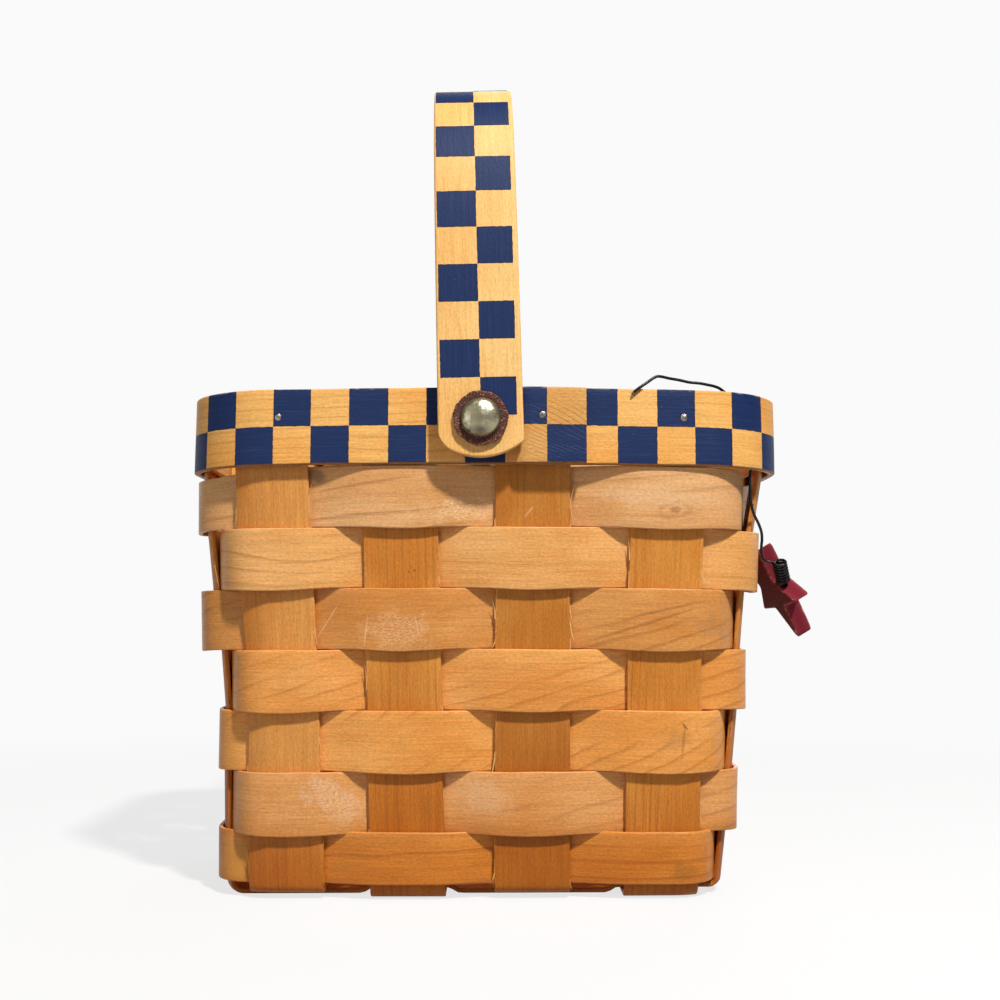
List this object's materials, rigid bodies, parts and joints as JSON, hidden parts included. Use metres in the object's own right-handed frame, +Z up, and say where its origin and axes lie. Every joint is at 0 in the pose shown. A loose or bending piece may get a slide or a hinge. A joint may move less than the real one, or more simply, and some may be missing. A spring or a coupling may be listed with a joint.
{
  "type": "woven wood basket",
  "caption": "Open-top basket woven from flat wood splints, with a check-painted rim, a riveted wood strap handle that swings, and a wooden star hung from the rim on a coiled wire.",
  "frame": {"origin": "on the floor, straight below the middle of the rim; the nearest flat underside of the base's middle cross splint is 1.3 mm from it", "axes": "+Z up; +X to the right as in the picture, the side where the star hangs; +Y away from the viewer, along the handle's rivet line"},
  "size_m": [0.2209, 0.1722, 0.2824],
  "materials": {
    "weaver_wood": "satin",
    "upright_wood": "satin",
    "rim_checks": "satin wood with navy painted checks",
    "rim_wood": "satin",
    "handle_checks": "satin wood with navy painted checks",
    "brass": "aged satin",
    "nail_steel": "satin",
    "leather": "matte",
    "star_paint": "satin maroon paint",
    "black_wire": "black annealed"
  },
  "bodies": {
    "basket": {"upright_1": "upright_wood", "upright_2": "upright_wood", "upright_3": "upright_wood", "upright_4": "upright_wood", "cross_splint_1": "upright_wood", "cross_splint_2": "upright_wood", "cross_splint_3": "upright_wood", "weaver_1": "weaver_wood", "weaver_2": "weaver_wood", "weaver_3": "weaver_wood", "weaver_4": "weaver_wood", "weaver_5": "weaver_wood", "weaver_6": "weaver_wood", "weaver_7": "weaver_wood", "rim_outer_band": "rim_checks", "rim_inner_band": "rim_wood", "rivet_front": "brass", "leather_washer_front": "leather", "spacer_washer_front": "leather", "burr_washer_front": "brass", "rivet_back": "brass", "leather_washer_back": "leather", "spacer_washer_back": "leather", "burr_washer_back": "brass", "rim_nail_1": "nail_steel", "rim_nail_2": "nail_steel", "rim_nail_3": "nail_steel", "rim_nail_4": "nail_steel", "rim_nail_5": "nail_steel", "rim_nail_6": "nail_steel", "rim_nail_7": "nail_steel", "rim_nail_8": "nail_steel", "star_wire": "black_wire"},
    "handle": {"handle_strap": "handle_checks"},
    "star": {"star": "star_paint"}
  },
  "joints": [
    {"name": "handle_swing", "type": "hinge", "parent": "basket", "child": "handle", "pos_m": [-0.00115, 0, 0.1575], "axis": [0, 1, 0], "range_deg": [-117, 100]},
    {"name": "star_turn", "type": "hinge", "parent": "basket", "child": "star", "pos_m": [0.1067, -0.03611, 0.10404], "axis": [-0.2816, -0.575, 0.7682], "range_deg": [-45, 4]}
  ]
}
